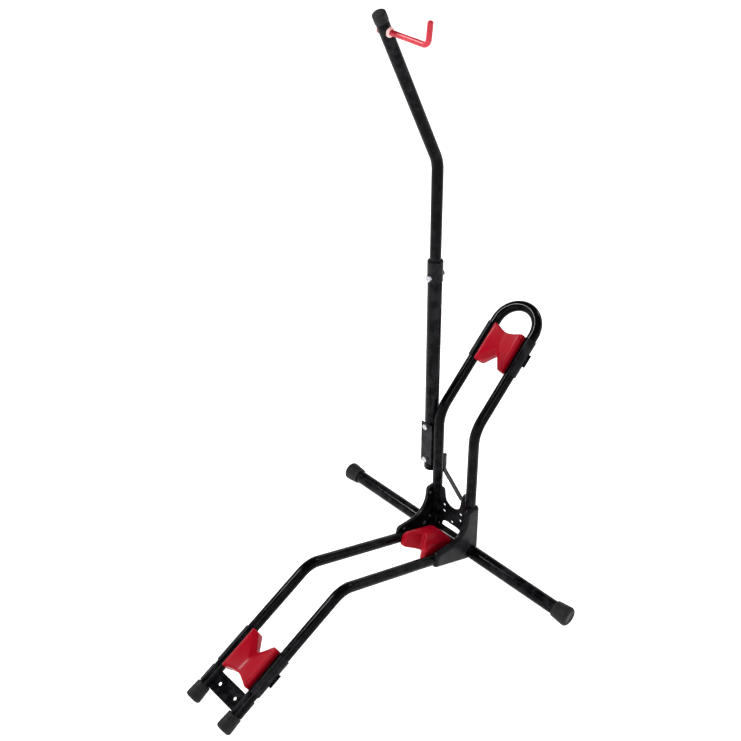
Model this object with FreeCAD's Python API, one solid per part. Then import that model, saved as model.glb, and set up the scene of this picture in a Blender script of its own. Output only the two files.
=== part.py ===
"""Free-standing bicycle stand: wheel cradle, cross foot and a telescopic post with a frame hook.

Millimetres, +Z up.  X is across the wheel slot, the track points to -Y, the hoop leans to +Y.
The layout is drawn about the cross tube and then moved so that the origin is the middle of
the stand's footprint on the floor.
"""
import FreeCAD, Part
import math
import os

# ---------------------------------------------------------------- driving dimensions
RAIL_R = 9.5                    # hoop and track tube, 19 mm
RAIL_WALL = 1.5
HALF_GAP = 41.0                 # wheel plane to the centre of a rail
CROSS_R = 12.5                  # cross tube, 25 mm
CROSS_WALL = 1.5
CROSS_HALF = 275.0              # half length of the bare cross tube
CROSS_Z = 16.4
SHEET = 2.0                     # bracket sheet thickness
POST_R = 12.5                   # lower post tube, 25 mm
SLIDE_R = 9.5                   # upper post tube, 19 mm
SLIDE_GAP = 0.08                # radial running clearance of the telescopic fit
TUBE_END_GAP = 1.0              # bare tube end to the floor of its cap
FIT_GAP = 0.2                   # between a rail and the sheet cut round it

# side view of the rails, as (y, z) from the foot of the cross tube
HOOP_Y = 6.4
HOOP_FOOT_Z = 31.0
HOOP_BEND = (HOOP_Y, 282.1)
HOOP_ANGLE = 42.7               # slope of the leaning part above the horizontal
HOOP_LEAN = 195.0               # bend to the centre of the end bow
TRACK_REAR = (-20.0, 21.0)
TRACK_BEND = (-305.2, 129.9)
TRACK_ANGLE_IN = -20.9          # slope towards +Y behind the bend
TRACK_ANGLE_OUT = 25.5          # slope towards +Y in front of the bend
TRACK_OUT = 266.5               # bend to the middle of the front foot
HOOP_BEND_R = 60.0
TRACK_BEND_R = 45.0

# upright post
POST_X = -64.5
POST_Y = 11.6
POST_FOOT_Z = 146.0
POST_TOP_Z = 569.6
SLIDE_FOOT_Z = 384.0
POST_BEND_Z = 739.1
POST_TIP = (-108.6, 975.4)      # y and z of the open end of the leaning part
POST_BEND_R = 55.0
PLUG_SINK = 12.0                # how far the end plugs reach into their tubes
CAP_SKIRT = 11.0
CAP_WALL = 0.6
COLLAR_Z = (536.0, 572.0)
COLLAR_WALL = 0.8
COLLAR_BOLT_Z = 544.0
CLAMP_Z = (162.0, 250.5)
CLAMP_BOLT_Z = (170.0, 244.0)
CLAMP_WEB = 1.5
CLAMP_SHORT = 1.0               # the flanges stop this far inside the outer side of the post
BOLT_R = 3.0
HEX_ACROSS = 10.0

# coated hook, as (x, z) in the upright plane through the top of the post
HOOK_Z = 952.8                  # where the long arm crosses the axis of the post
HOOK_BEND = (14.7, 946.5)
HOOK_TIP = (18.3, 978.8)
HOOK_R = 4.0
HOOK_BEND_R = 9.0
HOOK_STUB = 3.0                 # end of the rod behind the post

# red saddles
PAD_LENGTH = 76.0
PAD_HALF_WIDTH = 31.4
PAD_BASE = -6.0                 # underside, below the plane of the rails
PAD_TOP = 18.0                  # shoulders, above the plane of the rails
PAD_CROWN = 12.0                # rise of the corner saddle's middle above its shoulders
PAD_NOTCH_DEEP = 23.6
PAD_NOTCH_SHALLOW = 9.8
PAD_TIP = 20.0                  # inner side of the blunt tips beside the deep notch
PAD_VALLEY = (4.0, 17.0)        # valley height at the deep and the shallow notch
PAD_FLAT = 24.0                 # where the valley meets the shoulders
FRONT_PAD_S = 175.3             # from the track bend
TOP_PAD_S = 150.7               # from the hoop bend
CENTRE_PAD = (-65.3, 38.3, TRACK_ANGLE_IN)      # y, z and slope of the pad in the corner

# sheet parts on the rails
SEAT_FRONT = 8.0                # the corner seat stops behind the notch
SEAT_TAB = (14.0, 24.0)         # half width and length of its tongue to the cross tube
STRAP_HALF = 33.5               # straps under the pads reach the rails
STRAP_WIDTH = 18.0
CLIP_LENGTH = 70.0
CLIP_R = 11.3
CLIP_EDGE = -5.5                # lower edge of the sleeve, from the rail's centre
CLIP_TAB = (24.0, 3.2)          # length along the rail and how far it stands out
TIE_S = 235.0
TIE_LENGTH = 32.0
TIE_TOP = -1.6                  # upper face, below the plane of the rails
TIE_LIP = 4.0                   # outer edge of the hooked sides, above that plane
TIE_HOLE_R = 3.0
TIE_HOLE_X = 19.5

# corner bracket, side view outline of a cheek as (y, z, corner radius)
CHEEK_X = (45.0, 54.0)
CHEEK_OUTLINE = [
    (18.6, 118.0, 8.0),
    (-14.0, 118.0, 8.0),
    (-20.0, 64.0, 36.0),
    (-91.0, 67.5, 8.0),
    (-98.0, 39.0, 8.0),
    (-9.0, 2.2, 8.0),
    (18.6, 5.5, 8.0),
]
CHEEK_ROLL = 6.5
CHEEK_TOE = 115.0               # length of the track run that the cheek is cut round
CHEEK_SCREWS = [(-1.4, 95.8), (-0.7, 38.3), (-16.0, 29.7), (-70.0, 48.7)]
SCREW_HEAD_R = 3.3
SCREW_HEAD = 2.0
WEB_Y = (4.0, 6.0)
WEB_HALF = 31.4
WEB_HOLES = [(-20.0, 82.0), (20.0, 82.0), (-20.0, 67.0), (20.0, 67.0), (0.0, 51.5)]
WEB_HOLE_R = 2.75
STAY_R = 4.0
STAY_CORNER = (11.5, 98.6)      # x and z of the low corner of the stay rod

# rubber feet
CUP_FLOOR = 3.0
CUP_LIP = 1.0
CUP_GROOVE = 0.8
FOOT_LENGTH = 29.0              # front feet: length, mouth and sole radius, rounding, grooves
FOOT_SHAPE = (12.3, 13.5, 5.0, (20.0,))
END_FOOT_LENGTH = 31.0          # feet on the cross tube, in the same order
END_FOOT_SHAPE = (15.0, 17.6, 6.0, (24.0, 19.0))
UNDER_FLOOR = ((-400.0, -700.0, -60.0), (400.0, 200.0, 0.0))

# ---------------------------------------------------------------- worked-out sizes
TRACK_DIR = (math.cos(math.radians(TRACK_ANGLE_OUT)), math.sin(math.radians(TRACK_ANGLE_OUT)))
FRONT_FOOT = (TRACK_BEND[0] - TRACK_OUT * TRACK_DIR[0], TRACK_BEND[1] - TRACK_OUT * TRACK_DIR[1])
POST_LEAN = math.degrees(math.atan2(POST_Y - POST_TIP[0], POST_TIP[1] - POST_BEND_Z))
HOOK_Y = POST_Y - (HOOK_Z - POST_BEND_Z) * math.tan(math.radians(POST_LEAN))
X_AXIS = FreeCAD.Vector(1, 0, 0)
Y_AXIS = FreeCAD.Vector(0, 1, 0)
Z_AXIS = FreeCAD.Vector(0, 0, 1)

parts = {}


# ---------------------------------------------------------------- shape helpers
def rounded_wire(corners, closed=False):
    """Straight runs through (point, radius) corners, joined by tangent arcs."""
    points = [corner[0] for corner in corners]
    count = len(points)
    edges = []
    first = None
    last = points[0]
    for i, (point, radius) in enumerate(corners):
        if not closed and i in (0, count - 1):
            if i:
                edges.append(Part.LineSegment(last, point).toShape())
            continue
        back = (points[i - 1] - point).normalize()
        ahead = (points[(i + 1) % count] - point).normalize()
        half = back.getAngle(ahead) / 2
        reach = radius / math.tan(half)
        start = point + back * reach
        end = point + ahead * reach
        centre = point + (back + ahead).normalize() * (radius / math.sin(half))
        middle = centre + (point - centre).normalize() * radius
        if first is None and closed:
            first = start
        elif (start - last).Length > 1e-6:
            edges.append(Part.LineSegment(last, start).toShape())
        edges.append(Part.Arc(start, middle, end).toShape())
        last = end
    if closed:
        edges.append(Part.LineSegment(last, first).toShape())
    return Part.Wire(edges)


def swept_rod(corners, radius):
    """A round bar along a bent path."""
    path = rounded_wire(corners)
    start = path.Edges[0].valueAt(path.Edges[0].FirstParameter)
    heading = path.Edges[0].tangentAt(path.Edges[0].FirstParameter)
    ring = Part.Wire(Part.makeCircle(radius, start, heading))
    return path.makePipeShell([ring], True, False)


def swept_tube(corners, radius, wall):
    """A round tube with open ends along a bent path."""
    return swept_rod(corners, radius).cut(swept_rod(corners, radius - wall))


def cylinder(radius, length, base, axis=Z_AXIS):
    return Part.makeCylinder(radius, length, base, axis)


def box(low, high):
    size = [b - a for a, b in zip(low, high)]
    return Part.makeBox(size[0], size[1], size[2], FreeCAD.Vector(*low))


def prism(outline, axis_range, normal="X"):
    """Extrude a rounded 2-D outline along X (outline is y, z) or along Y (outline is x, z)."""
    low, high = axis_range
    if normal == "X":
        corners = [(FreeCAD.Vector(low, a, b), r) for a, b, r in outline]
        direction = X_AXIS
    else:
        corners = [(FreeCAD.Vector(a, low, b), r) for a, b, r in outline]
        direction = Y_AXIS
    face = Part.Face(rounded_wire(corners, closed=True))
    return face.extrude(direction * (high - low))


def turned(profile, base, axis):
    """Revolve a (radius, height) outline about the Z axis, then stand it on base along axis."""
    wire = Part.makePolygon([FreeCAD.Vector(r, 0, h) for r, h in profile + profile[:1]])
    solid = Part.Face(wire).revolve(FreeCAD.Vector(0, 0, 0), Z_AXIS, 360)
    solid.Placement = FreeCAD.Placement(base, FreeCAD.Rotation(Z_AXIS, axis))
    return solid


def on_slope(shape, y, z, slope, flip=False):
    """Move a shape drawn about the origin onto a slope: its +Y runs uphill towards +Y."""
    moved = shape.copy()
    if flip:
        moved.rotate(FreeCAD.Vector(0, 0, 0), Z_AXIS, 180)
    moved.rotate(FreeCAD.Vector(0, 0, 0), X_AXIS, slope)
    moved.translate(FreeCAD.Vector(0, y, z))
    return moved


def hex_prism(across, height, base, axis):
    corner = across / math.sqrt(3)
    points = [FreeCAD.Vector(corner * math.cos(math.radians(60 * i)),
                             corner * math.sin(math.radians(60 * i)), 0) for i in range(7)]
    solid = Part.Face(Part.makePolygon(points)).extrude(Z_AXIS * height)
    solid.Placement = FreeCAD.Placement(base, FreeCAD.Rotation(Z_AXIS, axis))
    return solid


def add(name, *shapes):
    """Keep a finished sub-part under its node name; several solids become one compound."""
    shape = shapes[0] if len(shapes) == 1 else Part.makeCompound(list(shapes))
    parts[name] = shape


def rail_point(bend, slope, distance):
    """The point on a rail's straight run, at a signed distance from its bend."""
    angle = math.radians(slope)
    return bend[0] + distance * math.cos(angle), bend[1] + distance * math.sin(angle)


# ---------------------------------------------------------------- rails and cross tube
def make_rails():
    bow_y, bow_z = rail_point(HOOP_BEND, HOOP_ANGLE, HOOP_LEAN + HALF_GAP)
    hoop = [(FreeCAD.Vector(-HALF_GAP, HOOP_Y, HOOP_FOOT_Z), 0)]
    hoop.append((FreeCAD.Vector(-HALF_GAP, *HOOP_BEND), HOOP_BEND_R))
    hoop.append((FreeCAD.Vector(-HALF_GAP, bow_y, bow_z), HALF_GAP))
    hoop.append((FreeCAD.Vector(HALF_GAP, bow_y, bow_z), HALF_GAP))
    hoop.append((FreeCAD.Vector(HALF_GAP, *HOOP_BEND), HOOP_BEND_R))
    hoop.append((FreeCAD.Vector(HALF_GAP, HOOP_Y, HOOP_FOOT_Z), 0))
    add("hoop_tube", swept_tube(hoop, RAIL_R, RAIL_WALL))
    tube_end = CUP_FLOOR + TUBE_END_GAP - FOOT_LENGTH / 2
    foot_y, foot_z = rail_point(FRONT_FOOT, TRACK_ANGLE_OUT, tube_end)
    for name, side in (("left", -1), ("right", 1)):
        x = side * HALF_GAP
        track = [(FreeCAD.Vector(x, *TRACK_REAR), 0), (FreeCAD.Vector(x, *TRACK_BEND), TRACK_BEND_R),
                 (FreeCAD.Vector(x, foot_y, foot_z), 0)]
        add(name + "_track_tube", swept_tube(track, RAIL_R, RAIL_WALL))
    start = FreeCAD.Vector(-CROSS_HALF, 0, CROSS_Z)
    outer = cylinder(CROSS_R, 2 * CROSS_HALF, start, X_AXIS)
    add("cross_tube", outer.cut(cylinder(CROSS_R - CROSS_WALL, 2 * CROSS_HALF, start, X_AXIS)))


# ---------------------------------------------------------------- rubber feet
def foot_profile(tube_r, length, shape):
    """A cup that slips over a tube: skirt flared towards a rounded sole, with shallow grooves."""
    mouth_r, sole_r, rounding, grooves = shape
    profile = [(0.0, CUP_FLOOR), (tube_r, CUP_FLOOR), (tube_r, length),
               (mouth_r - CUP_LIP, length), (mouth_r, length - CUP_LIP)]
    flare = (sole_r - mouth_r) / (length - CUP_LIP - rounding)
    for height in grooves:
        skirt_r = mouth_r + flare * (length - CUP_LIP - height)
        profile += [(skirt_r - flare * CUP_GROOVE, height + CUP_GROOVE),
                    (skirt_r - CUP_GROOVE, height),
                    (skirt_r + flare * CUP_GROOVE, height - CUP_GROOVE)]
    for degrees in range(0, 91, 15):
        angle = math.radians(degrees)
        profile.append((sole_r - rounding * (1 - math.cos(angle)), rounding * (1 - math.sin(angle))))
    profile.append((0.0, 0.0))
    return profile


def make_feet():
    ground = box(*UNDER_FLOOR)
    along = FreeCAD.Vector(0, *TRACK_DIR)
    toe_y, toe_z = rail_point(FRONT_FOOT, TRACK_ANGLE_OUT, -FOOT_LENGTH / 2)
    profile = foot_profile(RAIL_R, FOOT_LENGTH, FOOT_SHAPE)
    for name, side in (("front_left_foot", -1), ("front_right_foot", 1)):
        foot = turned(profile, FreeCAD.Vector(side * HALF_GAP, toe_y, toe_z), along)
        add(name, foot.cut(ground))
    profile = foot_profile(CROSS_R, END_FOOT_LENGTH, END_FOOT_SHAPE)
    for name, side in (("left_end_foot", -1), ("right_end_foot", 1)):
        sole = FreeCAD.Vector(side * (CROSS_HALF + TUBE_END_GAP + CUP_FLOOR), 0, CROSS_Z)
        add(name, turned(profile, sole, X_AXIS * -side).cut(ground))


# ---------------------------------------------------------------- corner bracket
def cheek_solid():
    """One pressed cheek, open towards the wheel: a plate with a broad rolled rim."""
    inner_x, outer_x = CHEEK_X
    blank = prism(CHEEK_OUTLINE, CHEEK_X)
    rim = [edge for edge in blank.Edges if all(abs(v.X - outer_x) < 1e-6 for v in edge.Vertexes)]
    blank = blank.makeFillet(CHEEK_ROLL, rim)
    face = Part.Face(rounded_wire([(FreeCAD.Vector(inner_x - 1, y, z), r)
                                   for y, z, r in CHEEK_OUTLINE], closed=True))
    pocket = face.makeOffset2D(-SHEET).extrude(X_AXIS * (outer_x - SHEET - inner_x + 1))
    bottom = [edge for edge in pocket.Edges
              if all(abs(v.X - outer_x + SHEET) < 1e-6 for v in edge.Vertexes)]
    cheek = blank.cut(pocket.makeFillet(CHEEK_ROLL - SHEET, bottom))
    leg = cylinder(RAIL_R + FIT_GAP, CHEEK_OUTLINE[0][1], FreeCAD.Vector(HALF_GAP, HOOP_Y, HOOP_FOOT_Z))
    slope = math.radians(TRACK_ANGLE_IN)
    heading = FreeCAD.Vector(0, math.cos(slope), math.sin(slope))
    toe = FreeCAD.Vector(HALF_GAP, *TRACK_REAR) - heading * CHEEK_TOE
    track = cylinder(RAIL_R + FIT_GAP, CHEEK_TOE, toe, heading)
    cross = cylinder(CROSS_R, 2 * outer_x, FreeCAD.Vector(0, 0, CROSS_Z), X_AXIS)
    for tool in (leg, track, cross):
        cheek = cheek.cut(tool)
    return cheek


def web_solid():
    """The upright sheet between the hoop legs, with a dished top edge, a slot and small holes."""
    outline = [(-WEB_HALF, 22.0, 0.5), (-WEB_HALF, 121.0, 0.5), (-21.0, 121.0, 3.0),
               (-16.0, 86.0, 18.0), (16.0, 86.0, 18.0), (21.0, 121.0, 3.0),
               (WEB_HALF, 121.0, 0.5), (WEB_HALF, 22.0, 0.5)]
    web = prism(outline, WEB_Y, "Y")
    slot = prism([(-25.5, 29.5, 2.0), (-22.0, 45.0, 12.0), (22.0, 45.0, 12.0), (25.5, 29.5, 2.0)],
                 (WEB_Y[0] - 1, WEB_Y[1] + 1), "Y")
    web = web.cut(slot)
    for x, z in WEB_HOLES:
        web = web.cut(cylinder(WEB_HOLE_R, 4, FreeCAD.Vector(x, WEB_Y[0] - 1, z), Y_AXIS))
    return web.cut(cylinder(CROSS_R, 2 * WEB_HALF, FreeCAD.Vector(-WEB_HALF, 0, CROSS_Z), X_AXIS))


def make_bracket():
    cheek = cheek_solid()
    mirrored = cheek.mirror(FreeCAD.Vector(0, 0, 0), X_AXIS)
    add("left_cheek", mirrored)
    add("right_cheek", cheek)
    add("rear_web_plate", web_solid())
    rear = -PAD_LENGTH / 2
    half, reach = SEAT_TAB
    seat = box((-STRAP_HALF, rear, PAD_BASE - SHEET), (STRAP_HALF, SEAT_FRONT, PAD_BASE))
    tab = box((-half, rear - reach, PAD_BASE - SHEET), (half, rear, PAD_BASE))
    seat = on_slope(seat.fuse(tab).removeSplitter(), *CENTRE_PAD, flip=True)
    cross = cylinder(CROSS_R, 2 * half, FreeCAD.Vector(-half, 0, CROSS_Z), X_AXIS)
    add("centre_pad_seat", seat.cut(cross))
    heads = []
    for side in (-1, 1):
        for y, z in CHEEK_SCREWS:
            face_x = side * (CHEEK_X[1] - SHEET)
            base = FreeCAD.Vector(face_x, y, z)
            head = cylinder(SCREW_HEAD_R, SCREW_HEAD, base, X_AXIS * -side)
            rim = [edge for edge in head.Edges if abs(edge.BoundBox.Center.x - face_x) > 1.5
                   and edge.BoundBox.XLength < 0.01]
            heads.append(head.makeFillet(1.2, rim))
    add("cheek_screws", *heads)


# ---------------------------------------------------------------- red saddles and what holds them
def pad_block(top):
    """Upright block over the bow-tie outline of a saddle.

    Drawn about its middle, with the deep notch at +Y and the rails' plane at z = 0.
    """
    half = PAD_LENGTH / 2
    width = PAD_HALF_WIDTH
    corners = [(-width, -half, 3.0), (0.0, -half + PAD_NOTCH_SHALLOW, 9.0), (width, -half, 3.0),
               (width, half, 4.0), (PAD_TIP, half, 4.0), (0.0, half - PAD_NOTCH_DEEP, 5.0),
               (-PAD_TIP, half, 4.0), (-width, half, 4.0)]
    wire = rounded_wire([(FreeCAD.Vector(x, y, PAD_BASE), r) for x, y, r in corners], closed=True)
    return Part.Face(wire).extrude(Z_AXIS * (top - PAD_BASE))


def valley_pad():
    """Saddle with shoulders along both rails and a valley between them."""
    half = PAD_LENGTH / 2
    deep_end = half - PAD_NOTCH_DEEP
    shallow_end = -half + PAD_NOTCH_SHALLOW
    pitch = (PAD_VALLEY[1] - PAD_VALLEY[0]) / (shallow_end - deep_end)
    above = PAD_TOP + 2
    sections = []
    for y in (-half - 5, half + 5):
        bottom = PAD_VALLEY[0] + pitch * (y - deep_end)
        points = [(0, bottom), (PAD_FLAT, above), (PAD_FLAT, 2 * above), (-PAD_FLAT, 2 * above),
                  (-PAD_FLAT, above), (0, bottom)]
        sections.append(Part.makePolygon([FreeCAD.Vector(x, y, z) for x, z in points]))
    return pad_block(PAD_TOP).cut(Part.makeLoft(sections, True, True))


def crowned_pad():
    """The corner saddle: the same outline under a top that rises to the middle."""
    radius = (PAD_HALF_WIDTH ** 2 + PAD_CROWN ** 2) / (2 * PAD_CROWN)
    crest = PAD_TOP + PAD_CROWN
    barrel = cylinder(radius, 2 * PAD_LENGTH, FreeCAD.Vector(0, -PAD_LENGTH, crest - radius), Y_AXIS)
    return pad_block(crest).common(barrel)


def clip_solid(side):
    """A sleeve over the upper outer side of a rail, with a short tab that stands out below."""
    half = CLIP_LENGTH / 2
    centre = FreeCAD.Vector(HALF_GAP, -half, 0)
    ring = cylinder(CLIP_R, CLIP_LENGTH, centre, Y_AXIS).cut(
        cylinder(RAIL_R, CLIP_LENGTH, centre, Y_AXIS))
    sleeve = ring.common(box((HALF_GAP, -half, CLIP_EDGE), (HALF_GAP + CLIP_R, half, CLIP_R)))
    tab_length, reach = CLIP_TAB
    tab = box((HALF_GAP + RAIL_R - 0.5, -tab_length / 2, CLIP_EDGE),
              (HALF_GAP + CLIP_R + reach, tab_length / 2, CLIP_EDGE + SHEET))
    clip = sleeve.fuse(tab).removeSplitter()
    if side > 0:
        return clip
    return clip.mirror(FreeCAD.Vector(0, 0, 0), X_AXIS)


def make_saddles():
    front = rail_point(TRACK_BEND, TRACK_ANGLE_OUT, -FRONT_PAD_S)
    top = rail_point(HOOP_BEND, HOOP_ANGLE, TOP_PAD_S)
    add("front_pad", on_slope(valley_pad(), *front, TRACK_ANGLE_OUT))
    add("top_pad", on_slope(valley_pad(), *top, HOOP_ANGLE, flip=True))
    add("centre_pad", on_slope(crowned_pad(), *CENTRE_PAD, flip=True))
    half = STRAP_WIDTH / 2
    for place, spot, slope in (("front", front, TRACK_ANGLE_OUT), ("top", top, HOOP_ANGLE)):
        for name, side in (("left", -1), ("right", 1)):
            add(place + "_" + name + "_pad_clip", on_slope(clip_solid(side), *spot, slope))
        strap = box((-STRAP_HALF, -half, PAD_BASE - SHEET), (STRAP_HALF, half, PAD_BASE))
        add(place + "_pad_strap", on_slope(strap, *spot, slope))


def make_tie_plate():
    """The sheet that joins the track tubes behind the front feet, hooked over both of them."""
    half = TIE_LENGTH / 2
    plate = box((-HALF_GAP, -half, TIE_TOP - SHEET), (HALF_GAP, half, TIE_TOP))
    for side in (-1, 1):
        centre = FreeCAD.Vector(side * HALF_GAP, -half, 0)
        plate = plate.cut(cylinder(RAIL_R, TIE_LENGTH, centre, Y_AXIS))
        ring = cylinder(CLIP_R, TIE_LENGTH, centre, Y_AXIS).cut(
            cylinder(RAIL_R, TIE_LENGTH, centre, Y_AXIS))
        lower = box((side * HALF_GAP - CLIP_R, -half, -CLIP_R),
                    (side * HALF_GAP + CLIP_R, half, TIE_TOP))
        outer_x = sorted((side * HALF_GAP, side * (HALF_GAP + CLIP_R)))
        outer = box((outer_x[0], -half, TIE_TOP - SHEET), (outer_x[1], half, TIE_LIP))
        plate = plate.fuse([ring.common(lower), ring.common(outer)])
        hole = cylinder(TIE_HOLE_R, 4 * SHEET, FreeCAD.Vector(side * TIE_HOLE_X, 0, TIE_TOP - 3 * SHEET))
        plate = plate.cut(hole)
    spot = rail_point(TRACK_BEND, TRACK_ANGLE_OUT, -TIE_S)
    add("front_tie_plate", on_slope(plate.removeSplitter(), *spot, TRACK_ANGLE_OUT))


# ---------------------------------------------------------------- post
def make_lower_post():
    foot = FreeCAD.Vector(POST_X, POST_Y, POST_FOOT_Z)
    length = POST_TOP_Z - POST_FOOT_Z
    bore = cylinder(SLIDE_R + SLIDE_GAP, length, foot)
    add("lower_post", cylinder(POST_R, length, foot).cut(bore))
    plug = [(0.0, 0.0), (POST_R - 3.0, 0.0), (POST_R - 0.8, 1.2), (POST_R, 3.4), (POST_R, 4.0),
            (SLIDE_R + SLIDE_GAP, 4.0), (SLIDE_R + SLIDE_GAP, 4.0 + PLUG_SINK), (0.0, 4.0 + PLUG_SINK)]
    add("post_bottom_plug", turned(plug, foot - Z_AXIS * 4.0, Z_AXIS))
    low, high = COLLAR_Z
    sleeve_r = POST_R + COLLAR_WALL
    collar = [(POST_R, low), (sleeve_r, low), (sleeve_r, high - 1.2), (POST_R, high),
              (SLIDE_R + 0.4, high), (SLIDE_R + 0.4, POST_TOP_Z), (POST_R, POST_TOP_Z)]
    add("post_collar", turned(collar, FreeCAD.Vector(POST_X, POST_Y, 0), Z_AXIS))
    for name, heading in (("collar_screw", -1), ("collar_stud", 1)):
        axis = Y_AXIS * heading
        seat = FreeCAD.Vector(POST_X, POST_Y, COLLAR_BOLT_Z) + axis * sleeve_r
        head = hex_prism(HEX_ACROSS, 4.5, seat, axis)
        shank = cylinder(BOLT_R, 3.6, seat - axis * 2.6, axis)
        add(name, head.fuse(shank).removeSplitter())
        hole = cylinder(BOLT_R, 4.0, seat - axis * POST_R / 4, axis)
        for target in ("lower_post", "post_collar"):
            parts[target] = parts[target].cut(hole)


def make_clamp():
    """U channel welded to the left hoop leg, with the post bolted between its flanges."""
    low, high = CLAMP_Z
    inner_x = -HALF_GAP - RAIL_R
    outer_x = POST_X - POST_R + CLAMP_SHORT
    front_y = POST_Y - POST_R - SHEET
    rear_y = POST_Y + POST_R + SHEET
    channel = box((outer_x, front_y, low), (inner_x, rear_y, high))
    core = box((outer_x - 1, front_y + SHEET, low - 1),
               (inner_x - CLAMP_WEB, rear_y - SHEET, high + 1))
    channel = channel.cut(core)
    bolts = []
    nuts = []
    for z in CLAMP_BOLT_Z:
        start = FreeCAD.Vector(POST_X, front_y, z)
        shank_length = rear_y - front_y + 8.0
        shank = cylinder(BOLT_R, shank_length, start, Y_AXIS)
        head = hex_prism(HEX_ACROSS, 4.0, start - Y_AXIS * 4.0, Y_AXIS)
        bolts.append(head.fuse(shank).removeSplitter())
        nut_seat = FreeCAD.Vector(POST_X, rear_y, z)
        nuts.append(hex_prism(HEX_ACROSS, 5.0, nut_seat, Y_AXIS).cut(shank))
        channel = channel.cut(shank)
        parts["lower_post"] = parts["lower_post"].cut(shank)
    add("post_clamp", channel)
    add("clamp_bolts", *bolts)
    add("clamp_nuts", *nuts)


def hook_axis():
    """Heading of the hook's long arm, which drops slightly towards the tip."""
    return FreeCAD.Vector(HOOK_BEND[0] - POST_X, 0, HOOK_BEND[1] - HOOK_Z).normalize()


def hook_point(distance):
    """A point on the hook's long arm, at a signed distance from the axis of the post."""
    return FreeCAD.Vector(POST_X, HOOK_Y, HOOK_Z) + hook_axis() * distance


def make_upper_post():
    tip = FreeCAD.Vector(POST_X, *POST_TIP)
    path = [(FreeCAD.Vector(POST_X, POST_Y, SLIDE_FOOT_Z), 0),
            (FreeCAD.Vector(POST_X, POST_Y, POST_BEND_Z), POST_BEND_R), (tip, 0)]
    rod_hole = cylinder(HOOK_R, 4 * SLIDE_R, hook_point(-2 * SLIDE_R), hook_axis())
    add("upper_post", swept_tube(path, SLIDE_R, RAIL_WALL).cut(rod_hole))
    lean = math.radians(POST_LEAN)
    up = FreeCAD.Vector(0, -math.sin(lean), math.cos(lean))
    skirt_r = SLIDE_R + CAP_WALL
    cap = [(SLIDE_R, 0.0), (skirt_r - 0.2, 0.0), (skirt_r, 0.6), (skirt_r, CAP_SKIRT + 0.5),
           (skirt_r - 0.4, CAP_SKIRT + 1.6), (SLIDE_R - 1.0, CAP_SKIRT + 2.6),
           (SLIDE_R - 4.0, CAP_SKIRT + 3.1), (0.0, CAP_SKIRT + 3.4), (0.0, CAP_SKIRT),
           (SLIDE_R, CAP_SKIRT)]
    add("post_top_cap", turned(cap, tip - up * CAP_SKIRT, up))
    bore = SLIDE_R - RAIL_WALL
    plug = [(0.0, 0.0), (SLIDE_R - 0.6, 0.0), (SLIDE_R, 0.8), (SLIDE_R, 2.0), (bore, 2.0),
            (bore, PLUG_SINK), (0.0, PLUG_SINK)]
    add("upper_post_plug", turned(plug, FreeCAD.Vector(POST_X, POST_Y, SLIDE_FOOT_Z - 2.0), Z_AXIS))


def make_hook():
    path = [(hook_point(-SLIDE_R - HOOK_STUB), 0),
            (FreeCAD.Vector(HOOK_BEND[0], HOOK_Y, HOOK_BEND[1]), HOOK_BEND_R),
            (FreeCAD.Vector(HOOK_TIP[0], HOOK_Y, HOOK_TIP[1]), 0)]
    rod = swept_rod(path, HOOK_R)
    end = [edge for edge in rod.Edges if edge.BoundBox.ZMin > HOOK_TIP[1] - 3.0]
    add("hook", rod.makeFillet(2.5, end))
    ring = [(HOOK_R, 0.0), (7.0, 0.0), (7.0, 1.6), (5.8, 3.2), (HOOK_R, 3.2)]
    grommet = turned(ring, hook_point(SLIDE_R - 0.9), hook_axis())
    tip = FreeCAD.Vector(POST_X, *POST_TIP)
    bend = FreeCAD.Vector(POST_X, POST_Y, POST_BEND_Z)
    straight = cylinder(SLIDE_R, (tip - bend).Length, bend, tip - bend)
    add("hook_grommet", grommet.cut(straight))
    nut = turned([(HOOK_R, 0.0), (6.5, 0.0), (6.5, 1.5), (5.0, 2.4), (HOOK_R, 2.4)],
                 hook_point(0.7 - SLIDE_R), hook_axis() * -1)
    add("hook_push_nut", nut.cut(straight))


def make_stay_rod():
    """Bent rod across the back of the hoop legs, welded to both of them."""
    y = HOOP_Y + RAIL_R + STAY_R
    low_x, low_z = STAY_CORNER
    corners = [(-37.5, 183.0, 0), (-37.5, 148.0, 12.0), (low_x, low_z, 5.0),
               (low_x + 4.5, low_z + 18.5, 7.0), (low_x + 20.0, low_z + 23.5, 0)]
    add("stay_rod", swept_rod([(FreeCAD.Vector(x, y, z), r) for x, z, r in corners], STAY_R))


# ---------------------------------------------------------------- build and export
def main():
    make_rails()
    make_feet()
    make_bracket()
    make_saddles()
    make_tie_plate()
    make_lower_post()
    make_clamp()
    make_upper_post()
    make_hook()
    make_stay_rod()
    front_y = parts["front_left_foot"].optimalBoundingBox(False).YMin
    rear_y = parts["hoop_tube"].optimalBoundingBox(False).YMax
    shift = FreeCAD.Vector(0, -(front_y + rear_y) / 2, 0)
    os.makedirs("parts", exist_ok=True)
    for name, shape in parts.items():
        placed = shape.copy()
        placed.translate(shift)
        placed.exportStep("parts/" + name + ".step")
        bounds = placed.optimalBoundingBox(False)
        print("%-22s %s solids=%d vol=%.0f  x %.1f %.1f  y %.1f %.1f  z %.1f %.1f" % (
            name, placed.isValid(), len(placed.Solids), placed.Volume, bounds.XMin, bounds.XMax,
            bounds.YMin, bounds.YMax, bounds.ZMin, bounds.ZMax))
    print("shift y %.3f" % shift.y)


main()
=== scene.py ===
"""Looks of the bicycle stand: moulded saddles, rubber feet, hardware and every material."""

import math

import bmesh
import bpy
from mathutils import Matrix, Vector


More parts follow.
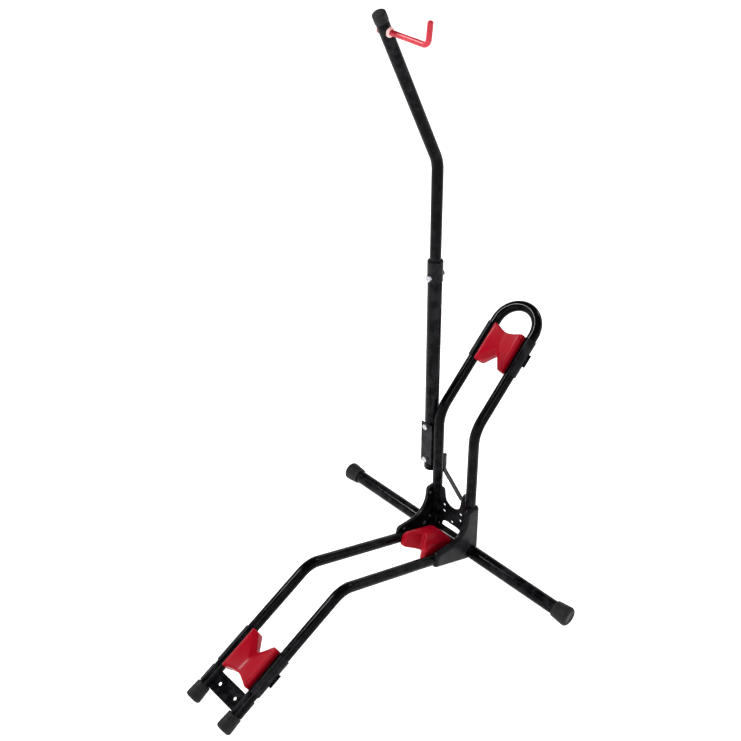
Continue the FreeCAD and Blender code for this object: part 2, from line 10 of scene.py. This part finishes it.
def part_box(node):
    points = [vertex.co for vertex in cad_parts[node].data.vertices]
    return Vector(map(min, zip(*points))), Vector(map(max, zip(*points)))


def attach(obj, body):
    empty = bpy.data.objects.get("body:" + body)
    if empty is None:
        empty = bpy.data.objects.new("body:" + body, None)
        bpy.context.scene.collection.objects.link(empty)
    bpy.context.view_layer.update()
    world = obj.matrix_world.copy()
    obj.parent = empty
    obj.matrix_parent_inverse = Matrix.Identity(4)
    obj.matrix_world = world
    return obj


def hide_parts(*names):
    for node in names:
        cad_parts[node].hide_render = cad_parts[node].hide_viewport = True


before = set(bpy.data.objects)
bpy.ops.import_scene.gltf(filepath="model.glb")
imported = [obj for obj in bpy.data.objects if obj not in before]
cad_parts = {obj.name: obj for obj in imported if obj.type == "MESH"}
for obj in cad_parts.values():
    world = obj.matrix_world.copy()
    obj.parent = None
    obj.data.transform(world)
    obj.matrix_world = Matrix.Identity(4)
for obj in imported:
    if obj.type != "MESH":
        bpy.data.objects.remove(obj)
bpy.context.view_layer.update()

MM = 0.001

# ---------------------------------------------------------------- sizes, in millimetres
PAD_HALF_WIDTH = 31.4
PAD_HALF_LENGTH = 38.0
PAD_BASE = -6.0
PAD_SHOULDER = 18.0
PAD_NOTCH_DEEP = 23.6
PAD_NOTCH_SHALLOW = 9.8
PAD_TIP = 20.0
PAD_CROWN = 12.0
PAD_VALLEY_DEEP = 8.4
PAD_VALLEY_SHALLOW = 16.0
PAD_CREASE_Y = -3.0
PAD_CREASE_DROP = 0.27
PAD_CREASE_SOFT = 0.8
VALLEY_SOFT = (0.012, 0.11, 0.896)      # rounds the bottom of the valley: added square, offset, span
VALLEY_SPREAD = 1.12                    # the sides reach the shoulders a little before the rim
SHALLOW_SOFT = (0.02, 0.141, 0.869)     # the same for the shallow notch
SHALLOW_POWER = 1.35
DEEP_APEX_R = 3.0
TIP_BLEND = 4.0
SHALLOW_CORNER = 3.0
DEEP_CORNER = 4.0
PAD_ROLL = 6.5                          # roll of the shoulders over the rails
PAD_GRID = (64, 56)
PAD_WALL = ((0.35, 0.0), (0.75, 0.0), (0.95, 0.25), (1.0, 1.0))     # share of the way down, inset
PAD_RIM = (0.9, 0.86)                   # inner edge of the underside, across and along
PAD_HOLLOW = (0.98, 5.0)                # taper and depth of the hollow underneath
PAD_HUB_Y = -6.0
TRACK_SLOPE = 25.5
HOOP_SLOPE = 42.7
CENTRE_SLOPE = -20.9
RAIL_R = 9.5
CROSS_R = 12.5
FOOT_LENGTH = 29.0
FOOT_SHAPE = (12.3, 13.5, 5.0, (20.0,))             # mouth, sole, rounding, grooves
END_FOOT_LENGTH = 31.0
END_FOOT_SHAPE = (15.0, 17.6, 6.0, (24.0, 19.0))
GRIP_RIBS = 20                                      # round the soles of the end feet
GRIP_DEPTH = 0.03                                   # share of the radius
GRIP_BAND = (3.5, 10.0)
GROOVE = ((-0.9, 0.0), (-0.5, 0.3), (0.0, 0.8), (0.5, 0.3), (0.9, 0.0))     # along the skirt, depth
TURN_STEPS = 144
RING_SPACING = 1.2

# ---------------------------------------------------------------- studio, in metres, degrees and watts
FLOOR_REACH = 30.0
WALL_HEIGHT = 14.0
FLOOR_SIDES = 48
FLOOR_GLOW = 0.92
WORLD_GLOW = 0.12
LIGHT_TARGET = (0, 0, 0.3)
LIGHTS = (("key_softbox", (-1.5, -0.9, 2.4), 0.45, 62.0),
          ("fill_softbox", (1.9, -1.6, 2.4), 0.9, 22.0),
          ("back_softbox", (0.4, 2.4, 2.2), 0.6, 18.0))
CAMERA_PLACE = (0.8820, -0.8231, 1.2790)
CAMERA_AZIMUTH = 47.29
CAMERA_ELEVATION = 33.49
CAMERA_ROLL = -1.12
CAMERA_LENS = 46.47
SENSOR_WIDTH = 36.0


# ---------------------------------------------------------------- mesh helpers
def new_object(name, mesh):
    obj = bpy.data.objects.new(name, mesh)
    bpy.context.scene.collection.objects.link(obj)
    return obj


def mesh_object(name, verts, faces, matrix=None, smooth=True):
    """A mesh from points in millimetres, moved by matrix and turned into metres."""
    mesh = bpy.data.meshes.new(name)
    place = matrix or Matrix.Identity(4)
    mesh.from_pydata([(place @ Vector(v)) * MM for v in verts], [], faces)
    mesh.validate()
    bm = bmesh.new()
    bm.from_mesh(mesh)
    bmesh.ops.remove_doubles(bm, verts=bm.verts, dist=1e-7)
    bmesh.ops.recalc_face_normals(bm, faces=bm.faces)
    bm.to_mesh(mesh)
    bm.free()
    if smooth:
        mesh.shade_smooth()
    return new_object(name, mesh)


def lathe_mesh(profile, steps, wobble=None):
    """Rings of a (radius, height) outline about Z; wobble(angle, height) scales the radius."""
    verts = []
    faces = []
    count = len(profile)
    for i in range(steps):
        angle = math.tau * i / steps
        for radius, height in profile:
            scale = wobble(angle, height) if wobble else 1.0
            verts.append((radius * scale * math.cos(angle), radius * scale * math.sin(angle), height))
    for i in range(steps):
        ahead = (i + 1) % steps
        for j in range(count - 1):
            faces.append((i * count + j, ahead * count + j, ahead * count + j + 1, i * count + j + 1))
    return verts, faces


def aim(base, axis):
    """Matrix, in millimetres, that stands local Z along axis at base."""
    turn = Vector((0, 0, 1)).rotation_difference(Vector(axis).normalized())
    return Matrix.Translation(Vector(base)) @ turn.to_matrix().to_4x4()


# ---------------------------------------------------------------- materials
def make_material(name):
    material = bpy.data.materials.new(name)
    material.use_nodes = True
    tree = material.node_tree
    return material, tree, tree.nodes["Principled BSDF"]


def noise(tree, scale, detail=2.0, rough=0.5):
    node = tree.nodes.new("ShaderNodeTexNoise")
    node.inputs["Scale"].default_value = scale
    node.inputs["Detail"].default_value = detail
    node.inputs["Roughness"].default_value = rough
    coords = tree.nodes.new("ShaderNodeTexCoord")
    tree.links.new(coords.outputs["Object"], node.inputs["Vector"])
    return node.outputs["Fac"]


def remap(tree, value, low, high, out_low, out_high):
    node = tree.nodes.new("ShaderNodeMapRange")
    for key, number in (("From Min", low), ("From Max", high), ("To Min", out_low), ("To Max", out_high)):
        node.inputs[key].default_value = number
    tree.links.new(value, node.inputs["Value"])
    return node.outputs["Result"]


def spread(tree, value, out_low, out_high):
    """The middle of a noise's range, stretched between two values."""
    return remap(tree, value, 0.3, 0.7, out_low, out_high)


def blend_colour(tree, factor, first, second):
    """Mix of two colours, each given as numbers or as another node's output."""
    node = tree.nodes.new("ShaderNodeMix")
    node.data_type = "RGBA"
    for socket, colour in zip([s for s in node.inputs if s.type == "RGBA"], (first, second)):
        if isinstance(colour, tuple):
            socket.default_value = (*colour, 1.0)
        else:
            tree.links.new(colour, socket)
    tree.links.new(factor, node.inputs["Factor"])
    return [s for s in node.outputs if s.type == "RGBA"][0]


def bump(tree, shader, heights):
    """Chain of bumps from (height, distance in millimetres, strength)."""
    last = None
    for height, distance, strength in heights:
        node = tree.nodes.new("ShaderNodeBump")
        node.inputs["Distance"].default_value = distance * MM
        node.inputs["Strength"].default_value = strength
        tree.links.new(height, node.inputs["Height"])
        if last:
            tree.links.new(last, node.inputs["Normal"])
        last = node.outputs["Normal"]
    tree.links.new(last, shader.inputs["Normal"])


def edge_mask(tree, low=0.53, high=0.6):
    """White on convex edges, where a finish rubs thin; on the red moulding it makes a painted highlight
    along the ridges.
    """
    geometry = tree.nodes.new("ShaderNodeNewGeometry")
    edge = remap(tree, geometry.outputs["Pointiness"], low, high, 0.0, 1.0)
    patchy = remap(tree, noise(tree, 60.0, 4.0, 0.7), 0.45, 0.62, 0.0, 1.0)
    both = tree.nodes.new("ShaderNodeMath")
    both.operation = "MULTIPLY"
    tree.links.new(edge, both.inputs[0])
    tree.links.new(patchy, both.inputs[1])
    return both.outputs[0]


def powder_coat():
    """Glossy black powder coat: fine orange peel, faint dust and worn edges."""
    material, tree, shader = make_material("black_powder_coat")
    cloud = noise(tree, 9.0, 5.0, 0.6)
    base = blend_colour(tree, spread(tree, cloud, 0.0, 1.0), (0.0011, 0.0011, 0.0015),
                        (0.002, 0.002, 0.0026))
    worn = blend_colour(tree, edge_mask(tree), base, (0.012, 0.012, 0.014))
    tree.links.new(worn, shader.inputs["Base Color"])
    rough = spread(tree, noise(tree, 40.0, 6.0, 0.65), 0.1, 0.17)
    tree.links.new(rough, shader.inputs["Roughness"])
    shader.inputs["Specular IOR Level"].default_value = 0.05
    bump(tree, shader, [(noise(tree, 620.0, 2.0), 0.05, 0.22), (noise(tree, 2400.0, 1.0), 0.02, 0.15)])
    return material


def satin_coat():
    """The same coat on pressed sheet, a little duller, with faint press marks."""
    material, tree, shader = make_material("black_sheet_coat")
    cloud = noise(tree, 14.0, 5.0, 0.6)
    base = blend_colour(tree, spread(tree, cloud, 0.0, 1.0), (0.002, 0.002, 0.0028),
                        (0.004, 0.004, 0.0054))
    worn = blend_colour(tree, edge_mask(tree, 0.515, 0.57), base, (0.016, 0.016, 0.019))
    tree.links.new(worn, shader.inputs["Base Color"])
    rough = spread(tree, noise(tree, 55.0, 6.0, 0.65), 0.32, 0.46)
    tree.links.new(rough, shader.inputs["Roughness"])
    shader.inputs["Specular IOR Level"].default_value = 0.09
    bump(tree, shader, [(noise(tree, 520.0, 2.0), 0.06, 0.3), (noise(tree, 30.0, 3.0), 0.25, 0.12)])
    return material


def red_plastic():
    """Glossy moulded red: flow clouding, fine grain and paler ridges, a painted highlight."""
    material, tree, shader = make_material("red_moulding")
    flow = noise(tree, 26.0, 5.0, 0.55)
    base = blend_colour(tree, spread(tree, flow, 0.0, 1.0), (0.27, 0.0012, 0.0085),
                        (0.33, 0.0018, 0.012))
    # Paler red on convex ridges and rims, in patches: a painted highlight.
    painted_ridge_highlight = blend_colour(tree, edge_mask(tree, 0.515, 0.6), base, (0.42, 0.008, 0.026))
    tree.links.new(painted_ridge_highlight, shader.inputs["Base Color"])
    rough = spread(tree, noise(tree, 90.0, 5.0, 0.6), 0.3, 0.42)
    tree.links.new(rough, shader.inputs["Roughness"])
    shader.inputs["Specular IOR Level"].default_value = 0.07
    shader.inputs["Subsurface Weight"].default_value = 0.08
    shader.inputs["Subsurface Scale"].default_value = 0.004
    shader.inputs["Subsurface Radius"].default_value = (1.0, 0.25, 0.15)
    shader.inputs["Coat Weight"].default_value = 0.04
    shader.inputs["Coat Roughness"].default_value = 0.16
    bump(tree, shader, [(noise(tree, 1500.0, 2.0), 0.04, 0.25), (noise(tree, 70.0, 3.0), 0.3, 0.16)])
    return material


def red_vinyl():
    """Dipped vinyl on the hook: thick, glossy and slightly uneven."""
    material, tree, shader = make_material("red_vinyl_dip")
    cloud = noise(tree, 40.0, 3.0)
    base = blend_colour(tree, spread(tree, cloud, 0.0, 1.0), (0.38, 0.008, 0.02),
                        (0.46, 0.014, 0.03))
    tree.links.new(base, shader.inputs["Base Color"])
    rough = spread(tree, noise(tree, 120.0, 4.0), 0.28, 0.42)
    tree.links.new(rough, shader.inputs["Roughness"])
    shader.inputs["Specular IOR Level"].default_value = 0.3
    shader.inputs["Subsurface Weight"].default_value = 0.15
    shader.inputs["Subsurface Scale"].default_value = 0.003
    shader.inputs["Subsurface Radius"].default_value = (1.0, 0.25, 0.15)
    shader.inputs["Coat Weight"].default_value = 0.08
    shader.inputs["Coat Roughness"].default_value = 0.25
    bump(tree, shader, [(noise(tree, 160.0, 2.0), 0.25, 0.2), (noise(tree, 1800.0, 1.0), 0.03, 0.15)])
    return material


def soft_black(name, dark, light, rough_low, rough_high, grain, depth, shine):
    """Matt rubber or plastic with a grained surface and paler scuffs."""
    material, tree, shader = make_material(name)
    cloud = noise(tree, 35.0, 6.0, 0.65)
    base = blend_colour(tree, remap(tree, cloud, 0.35, 0.7, 0.0, 1.0), dark, light)
    scuffed = blend_colour(tree, edge_mask(tree), base, tuple(3.0 * c for c in light))
    tree.links.new(scuffed, shader.inputs["Base Color"])
    rough = spread(tree, noise(tree, 80.0, 5.0), rough_low, rough_high)
    tree.links.new(rough, shader.inputs["Roughness"])
    shader.inputs["Specular IOR Level"].default_value = shine
    bump(tree, shader, [(noise(tree, grain, 3.0, 0.6), depth, 0.5), (noise(tree, 45.0, 3.0), 0.3, 0.12)])
    return material


def metal(name, colour, tint, rough_low, rough_high):
    """Plated steel: bright or blackened, with turning marks and darker spots."""
    material, tree, shader = make_material(name)
    spots = remap(tree, noise(tree, 240.0, 5.0, 0.7), 0.5, 0.72, 0.0, 1.0)
    base = blend_colour(tree, spots, colour, tint)
    tree.links.new(base, shader.inputs["Base Color"])
    rough = spread(tree, noise(tree, 500.0, 4.0), rough_low, rough_high)
    tree.links.new(rough, shader.inputs["Roughness"])
    shader.inputs["Metallic"].default_value = 1.0
    bump(tree, shader, [(noise(tree, 900.0, 3.0), 0.03, 0.3)])
    return material


def pale_ring_plastic():
    """Milky pink grommet where the hook enters the post."""
    material, tree, shader = make_material("pale_ring_plastic")
    cloud = noise(tree, 90.0, 4.0)
    base = blend_colour(tree, spread(tree, cloud, 0.0, 1.0), (0.72, 0.4, 0.38), (0.86, 0.58, 0.55))
    tree.links.new(base, shader.inputs["Base Color"])
    rough = spread(tree, noise(tree, 200.0, 3.0), 0.3, 0.45)
    tree.links.new(rough, shader.inputs["Roughness"])
    shader.inputs["Subsurface Weight"].default_value = 0.3
    shader.inputs["Subsurface Scale"].default_value = 0.002
    bump(tree, shader, [(noise(tree, 1200.0, 2.0), 0.03, 0.2)])
    return material


GLOSS = powder_coat()
SHEET = satin_coat()
RED = red_plastic()
VINYL = red_vinyl()
RUBBER = soft_black("black_rubber", (0.006, 0.006, 0.007), (0.012, 0.012, 0.013), 0.5, 0.7, 900.0,
                    0.08, 0.16)
PLASTIC = soft_black("black_plastic", (0.002, 0.002, 0.0026), (0.004, 0.004, 0.005), 0.3, 0.45,
                     1300.0, 0.04, 0.08)
ZINC = metal("bright_zinc", (0.42, 0.42, 0.45), (0.24, 0.24, 0.25), 0.22, 0.4)
BLACK_STEEL = metal("black_oxide_steel", (0.06, 0.06, 0.065), (0.03, 0.028, 0.026), 0.3, 0.5)
PALE = pale_ring_plastic()


def paint(obj, material):
    obj.data.materials.clear()
    obj.data.materials.append(material)


def finish_piece(obj, material, slot, body, *nodes):
    """Material and body of a piece that stands for CAD nodes; the slot it is given is not used."""
    paint(obj, material)
    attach(obj, body)
    if nodes:
        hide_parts(*nodes)
    return obj


# ---------------------------------------------------------------- red saddles
def soft_share(share, softness):
    """A share of 0 to 1 whose start is rounded instead of pointed."""
    square, offset, span = softness
    return (math.sqrt(share * share + square) - offset) / span


def valley_height(x, y):
    """Top of a rail saddle: two shoulders, a valley and the crease towards the deep notch."""
    span = 2 * PAD_HALF_LENGTH
    run = (y + PAD_HALF_LENGTH) / span
    valley = PAD_VALLEY_SHALLOW + (PAD_VALLEY_DEEP - PAD_VALLEY_SHALLOW) * run
    across = abs(x) / PAD_HALF_WIDTH
    rounded = soft_share(across, VALLEY_SOFT)
    height = valley + (PAD_SHOULDER - valley) * min(rounded * VALLEY_SPREAD, 1.0)
    crease = PAD_CREASE_Y + (PAD_HALF_LENGTH - PAD_CREASE_Y) * across
    beyond = y - crease
    fall = 0.5 * (beyond + math.sqrt(beyond * beyond + PAD_CREASE_SOFT * PAD_CREASE_SOFT))
    return height - PAD_CREASE_DROP * fall


def crown_height(x, y):
    """Top of the corner saddle: a round crown over the slot, a little lower towards its rear."""
    radius = (PAD_HALF_WIDTH ** 2 + PAD_CROWN ** 2) / (2 * PAD_CROWN)
    rise = math.sqrt(radius * radius - x * x) - radius + PAD_CROWN
    return PAD_SHOULDER + rise * (0.97 + 0.03 * y / PAD_HALF_LENGTH)


def rounding(distance, radius):
    """How far a rounded edge falls below the flat at a distance from the rim."""
    if distance >= radius:
        return 0.0
    return radius - math.sqrt(max(radius * radius - (radius - distance) ** 2, 0.0))


def pad_reach(x):
    """Shallow and deep end of a saddle at a distance across it."""
    across = min(abs(x), PAD_HALF_WIDTH)
    blunt = soft_share(across / PAD_HALF_WIDTH, SHALLOW_SOFT)
    low = -PAD_HALF_LENGTH + PAD_NOTCH_SHALLOW * (1 - blunt ** SHALLOW_POWER)
    ramp = math.hypot(across, DEEP_APEX_R) - DEEP_APEX_R
    ramp /= math.hypot(PAD_TIP, DEEP_APEX_R) - DEEP_APEX_R
    gap = PAD_NOTCH_DEEP * (ramp - 1.0)
    high = PAD_HALF_LENGTH + 0.5 * (gap - math.sqrt(gap * gap + TIP_BLEND))
    edge = PAD_HALF_WIDTH - across
    return low + rounding(edge, SHALLOW_CORNER), high - rounding(edge, DEEP_CORNER)


def pad_top(height_at, deep_roll, shallow_roll):
    """Points of the saddle's top and the grid of their numbers, column by column."""
    columns, rows = PAD_GRID
    verts = []
    grid = []
    for i in range(columns + 1):
        x = PAD_HALF_WIDTH * math.sin(math.pi / 2 * (2 * i / columns - 1))
        low, high = pad_reach(x)
        line = []
        for j in range(rows + 1):
            y = low + (high - low) * (0.5 + 0.5 * math.sin(math.pi / 2 * (2 * j / rows - 1)))
            fall = rounding(PAD_HALF_WIDTH - abs(x), PAD_ROLL)
            fall += rounding((high - y) * 0.8, deep_roll) + rounding((y - low) * 0.8, shallow_roll)
            line.append(len(verts))
            verts.append((x, y, height_at(x, y) - fall))
        grid.append(line)
    return verts, grid


def pad_rings(verts, rim):
    """Rings of points from the rim down the walls, round the lower edge and into the hollow."""
    rings = [rim]
    for level, inset in PAD_WALL:
        shrink = 1.0 - inset / PAD_HALF_WIDTH
        down = [(x * shrink, y * shrink, z + (PAD_BASE - z) * level)
                for x, y, z in (verts[index] for index in rim)]
        rings.append(add_points(verts, down))
    across, along = PAD_RIM
    inner = [(x * across, y * along, z) for x, y, z in (verts[index] for index in rings[-1])]
    rings.append(add_points(verts, inner))
    taper, depth = PAD_HOLLOW
    hollow = [(x * taper, y * taper, z + depth) for x, y, z in inner]
    rings.append(add_points(verts, hollow))
    return rings


def add_points(verts, points):
    """Append points to a list and give their numbers."""
    start = len(verts)
    verts += points
    return list(range(start, len(verts)))


def pad_mesh(height_at, deep_roll, shallow_roll):
    """Closed saddle mesh about its middle, deep notch at +Y."""
    columns, rows = PAD_GRID
    verts, grid = pad_top(height_at, deep_roll, shallow_roll)
    faces = [(grid[i][j], grid[i + 1][j], grid[i + 1][j + 1], grid[i][j + 1])
             for i in range(columns) for j in range(rows)]
    rim = [grid[i][0] for i in range(columns)]
    rim += [grid[columns][j] for j in range(rows)]
    rim += [grid[i][rows] for i in range(columns, 0, -1)]
    rim += [grid[0][j] for j in range(rows, 0, -1)]
    rings = pad_rings(verts, rim)
    count = len(rim)
    for upper, lower in zip(rings, rings[1:]):
        for k in range(count):
            ahead = (k + 1) % count
            faces.append((upper[k], lower[k], lower[ahead], upper[ahead]))
    hub = len(verts)
    verts.append((0.0, PAD_HUB_Y, PAD_BASE + PAD_HOLLOW[1]))
    hollow = rings[-1]
    faces += [(hollow[k], hub, hollow[(k + 1) % count]) for k in range(count)]
    return verts, faces


def pad_origin(node, slope):
    """Point of the rails' plane under the middle of a CAD saddle that lies on a slope."""
    angle = math.radians(slope)
    along = Vector((0, math.cos(angle), math.sin(angle)))
    up = Vector((0, -math.sin(angle), math.cos(angle)))
    points = [vertex.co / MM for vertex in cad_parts[node].data.vertices]
    runs = [point.dot(along) for point in points]
    base = min(point.dot(up) for point in points)
    return along * (min(runs) + max(runs)) / 2 + up * (base - PAD_BASE)


def make_saddles():
    rail_saddle = pad_mesh(valley_height, 1.8, 2.6)
    corner_saddle = pad_mesh(crown_height, 6.0, 3.0)
    for node, slope, flip, shape in (("front_pad", TRACK_SLOPE, 0, rail_saddle),
                                     ("top_pad", HOOP_SLOPE, 180, rail_saddle),
                                     ("centre_pad", CENTRE_SLOPE, 180, corner_saddle)):
        place = Matrix.Translation(pad_origin(node, slope))
        place = place @ Matrix.Rotation(math.radians(slope), 4, "X")
        place = place @ Matrix.Rotation(math.radians(flip), 4, "Z")
        pad = mesh_object(node + "_moulding", *shape, place)
        finish_piece(pad, RED, "red_pad", "stand", node)


# ---------------------------------------------------------------- rubber feet
def foot_profile(shape, tube, length):
    """Cup outline from the tube's mouth to the middle of the sole."""
    mouth, sole, corner, grooves = shape
    profile = [(tube + 0.02, length - 2.0), (tube + 0.05, length - 0.4), (tube + 0.5, length),
               (mouth - 1.0, length), (mouth - 0.25, length - 0.3), (mouth, length - 1.0)]
    flare = (sole - mouth) / (length - 1.0 - corner)
    for height in grooves:
        skirt = mouth + flare * (length - 1.0 - height)
        for drop, depth in GROOVE:
            profile.append((skirt + flare * drop - depth, height - drop))
    for degrees in range(0, 91, 10):
        angle = math.radians(degrees)
        profile.append((sole - corner + corner * math.cos(angle), corner - corner * math.sin(angle)))
    profile += [(sole - corner - 0.8, 0.0), (sole * 0.5, 0.0), (sole * 0.48, 0.35), (0.001, 0.35)]
    return profile


def make_foot(node, shape, tube, length, base, axis, ribs):
    """Rubber cup, with grip marks near its sole if it has ribs, flat where it meets the floor."""
    def grip(angle, height):
        if not ribs or not GRIP_BAND[0] < height < GRIP_BAND[1]:
            return 1.0
        return 1.0 - GRIP_DEPTH * max(0.0, math.cos(angle * ribs)) ** 6

    profile = foot_profile(shape, tube, length)
    fine = []
    for (r0, z0), (r1, z1) in zip(profile, profile[1:]):
        pieces = max(1, int(abs(z1 - z0) / RING_SPACING))
        fine += [(r0 + (r1 - r0) * k / pieces, z0 + (z1 - z0) * k / pieces) for k in range(pieces)]
    fine.append(profile[-1])
    verts, faces = lathe_mesh(fine, TURN_STEPS, grip)
    foot = mesh_object(node + "_cup", verts, faces, aim(base, axis))
    for vertex in foot.data.vertices:
        vertex.co.z = max(vertex.co.z, 0.0)
    finish_piece(foot, RUBBER, "rubber", "stand", node)


def make_feet():
    slope = math.radians(TRACK_SLOPE)
    along = Vector((0, math.cos(slope), math.sin(slope)))
    for node in ("front_left_foot", "front_right_foot"):
        toe = foot_mouth(node) - along * FOOT_LENGTH
        make_foot(node, FOOT_SHAPE, RAIL_R, FOOT_LENGTH, toe, along, 0)
    for node, side in (("left_end_foot", -1), ("right_end_foot", 1)):
        low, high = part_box(node)
        tip = low.x if side < 0 else high.x
        centre = Vector((tip / MM, (low.y + high.y) / 2 / MM, high.z / MM - END_FOOT_SHAPE[1]))
        make_foot(node, END_FOOT_SHAPE, CROSS_R, END_FOOT_LENGTH, centre, (-side, 0, 0), GRIP_RIBS)


def foot_mouth(node):
    """Centre of a front foot's mouth: its rim is the highest ring of the CAD cup."""
    slope = math.radians(TRACK_SLOPE)
    along = Vector((0, math.cos(slope), math.sin(slope)))
    points = [v.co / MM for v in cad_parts[node].data.vertices]
    far = max(p.dot(along) for p in points)
    ring = [p for p in points if p.dot(along) > far - 0.05]
    low = Vector([min(p[i] for p in ring) for i in range(3)])
    high = Vector([max(p[i] for p in ring) for i in range(3)])
    return (low + high) / 2


# ---------------------------------------------------------------- nodes kept from the CAD
FINISHES = (
    (GLOSS, ("hoop_tube", "left_track_tube", "right_track_tube", "cross_tube", "lower_post",
             "upper_post", "front_tie_plate")),
    (SHEET, ("left_cheek", "right_cheek", "rear_web_plate", "centre_pad_seat", "post_clamp",
             "front_pad_strap", "top_pad_strap")),
    (PLASTIC, ("post_collar", "post_bottom_plug", "upper_post_plug", "front_left_pad_clip",
               "front_right_pad_clip", "top_left_pad_clip", "top_right_pad_clip")),
    (RUBBER, ("post_top_cap",)),
    (VINYL, ("hook", "hook_push_nut")),
    (PALE, ("hook_grommet",)),
    (ZINC, ("collar_screw", "clamp_bolts", "clamp_nuts", "cheek_screws")),
    (BLACK_STEEL, ("collar_stud", "stay_rod")),
)


def dress_cad_nodes():
    for material, names in FINISHES:
        for name in names:
            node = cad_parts[name]
            paint(node, material)
            node.data.shade_smooth()


# ---------------------------------------------------------------- floor, light and camera
def make_stage():
    """A pale floor that runs up into a low surround, softly lit through like a light table."""
    sides = FLOOR_SIDES
    turns = [math.tau * k / sides for k in range(sides)]
    rim = [(FLOOR_REACH * math.cos(turn), FLOOR_REACH * math.sin(turn)) for turn in turns]
    verts = [(x, y, 0.0) for x, y in rim] + [(x, y, WALL_HEIGHT) for x, y in rim]
    faces = [tuple(range(sides))]
    faces += [(k, (k + 1) % sides, sides + (k + 1) % sides, sides + k) for k in range(sides)]
    floor_mesh = bpy.data.meshes.new("floor")
    floor_mesh.from_pydata(verts, [], faces)
    floor = new_object("floor", floor_mesh)
    material, _, shader = make_material("pale_floor")
    shader.inputs["Base Color"].default_value = (0.8, 0.8, 0.8, 1)
    shader.inputs["Roughness"].default_value = 0.9
    shader.inputs["Specular IOR Level"].default_value = 0.0
    shader.inputs["Emission Color"].default_value = (1, 1, 1, 1)
    shader.inputs["Emission Strength"].default_value = FLOOR_GLOW
    paint(floor, material)


def make_light(name, place, size, power):
    data = bpy.data.lights.new(name, "AREA")
    data.energy = power
    data.shape = "RECTANGLE"
    data.size = size
    data.size_y = size
    light = bpy.data.objects.new(name, data)
    bpy.context.scene.collection.objects.link(light)
    light.location = place
    heading = Vector(LIGHT_TARGET) - Vector(place)
    light.rotation_euler = heading.to_track_quat("-Z", "Y").to_euler()


def make_lights():
    world = bpy.data.worlds.new("studio")
    bpy.context.scene.world = world
    world.use_nodes = True
    world.node_tree.nodes["Background"].inputs["Color"].default_value = (1, 1, 1, 1)
    world.node_tree.nodes["Background"].inputs["Strength"].default_value = WORLD_GLOW
    for light in LIGHTS:
        make_light(*light)


def make_camera():
    azimuth = math.radians(CAMERA_AZIMUTH)
    elevation = math.radians(CAMERA_ELEVATION)
    roll = math.radians(CAMERA_ROLL)
    back = Vector((math.sin(azimuth) * math.cos(elevation), -math.cos(azimuth) * math.cos(elevation),
                   math.sin(elevation)))
    right = Vector((math.cos(azimuth), math.sin(azimuth), 0))
    up = back.cross(right)
    tilted_right = right * math.cos(roll) + up * math.sin(roll)
    tilted_up = up * math.cos(roll) - right * math.sin(roll)
    data = bpy.data.cameras.new("camera")
    data.sensor_width = SENSOR_WIDTH
    data.lens = CAMERA_LENS
    data.clip_end = 100.0
    camera = bpy.data.objects.new("camera", data)
    bpy.context.scene.collection.objects.link(camera)
    place = Matrix((tilted_right, tilted_up, back)).transposed().to_4x4()
    place.translation = Vector(CAMERA_PLACE)
    camera.matrix_world = place
    bpy.context.scene.camera = camera


bpy.context.scene.view_settings.view_transform = "Standard"
make_camera()
make_stage()
make_lights()
dress_cad_nodes()
make_saddles()
make_feet()
